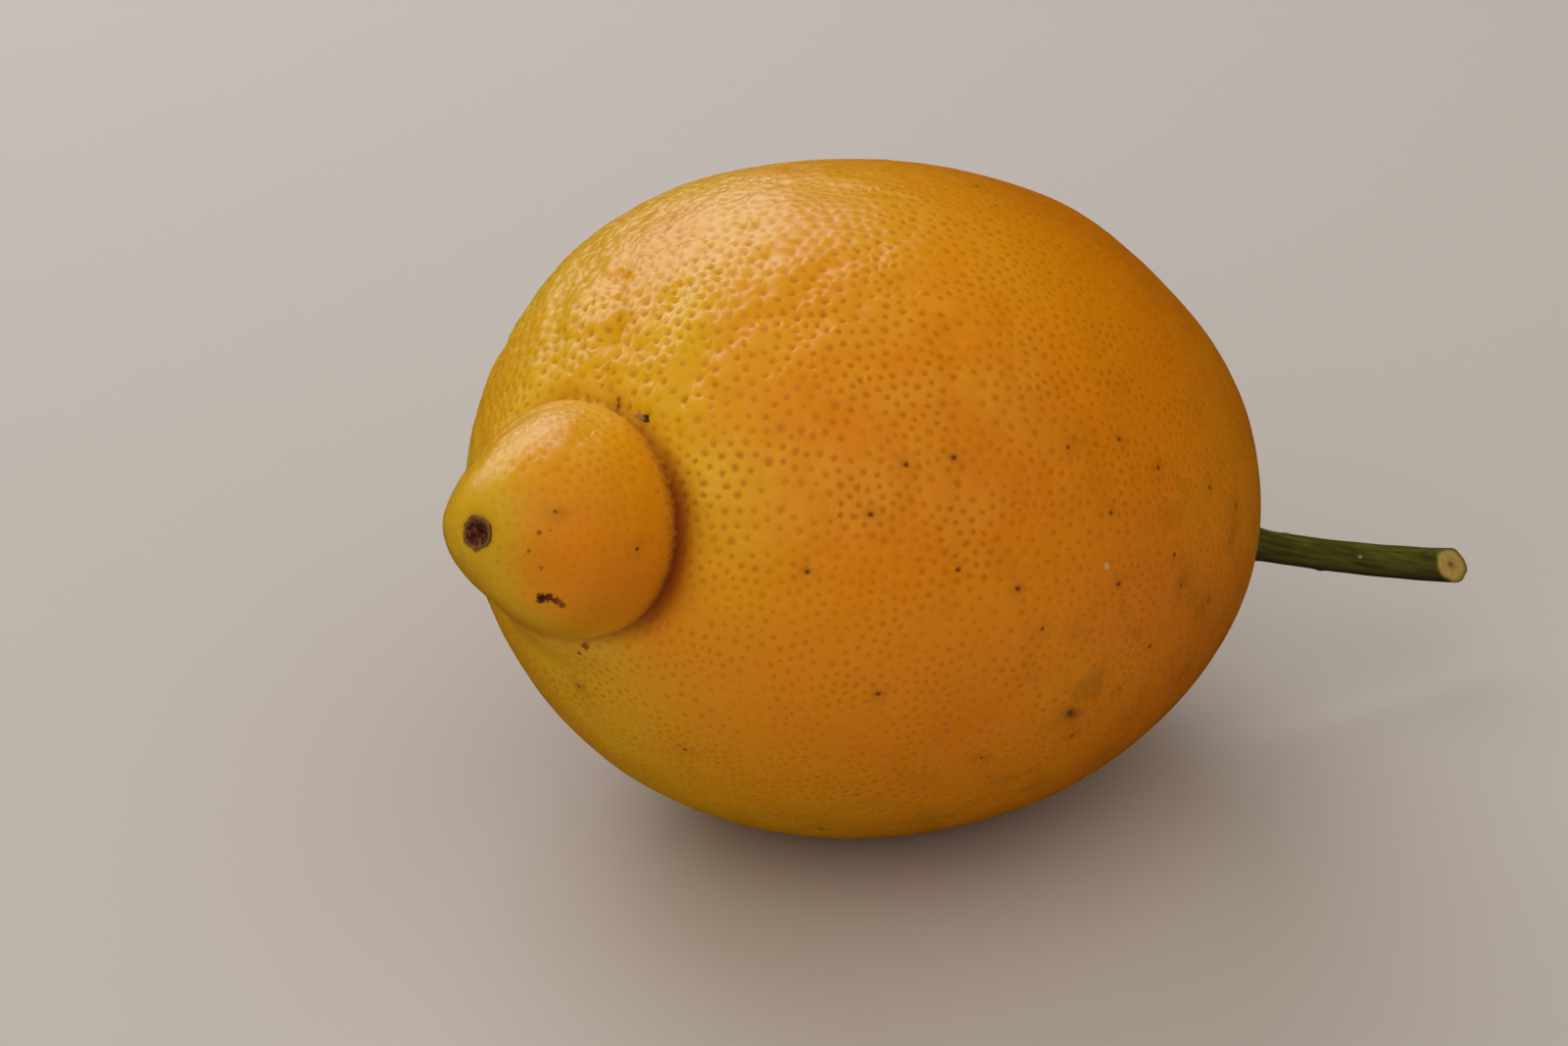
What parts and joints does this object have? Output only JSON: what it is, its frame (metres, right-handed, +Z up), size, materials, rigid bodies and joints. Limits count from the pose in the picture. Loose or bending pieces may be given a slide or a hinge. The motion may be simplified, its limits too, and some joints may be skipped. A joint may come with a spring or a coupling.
{
  "type": "lemon",
  "caption": "Whole ripe lemon lying on its side, with a large folded nipple, a calyx button and a short slant-cut stem.",
  "frame": {"origin": "middle of the small flat spot that the fruit rests on", "axes": "+X along the lying fruit from the nipple towards the stem, +Z up, +Y across"},
  "size_m": [0.1248, 0.0738, 0.0682],
  "materials": {
    "rind": "ripe lemon rind, pitted by oil glands, with a soft waxy gloss",
    "calyx_green": "matt olive green calyx, browning at the tips",
    "stem_green": "olive green young bark, pale wood on the cut face"
  },
  "bodies": {
    "root": {"fruit": "rind", "calyx": "calyx_green", "stem": "stem_green"}
  },
  "joints": []
}
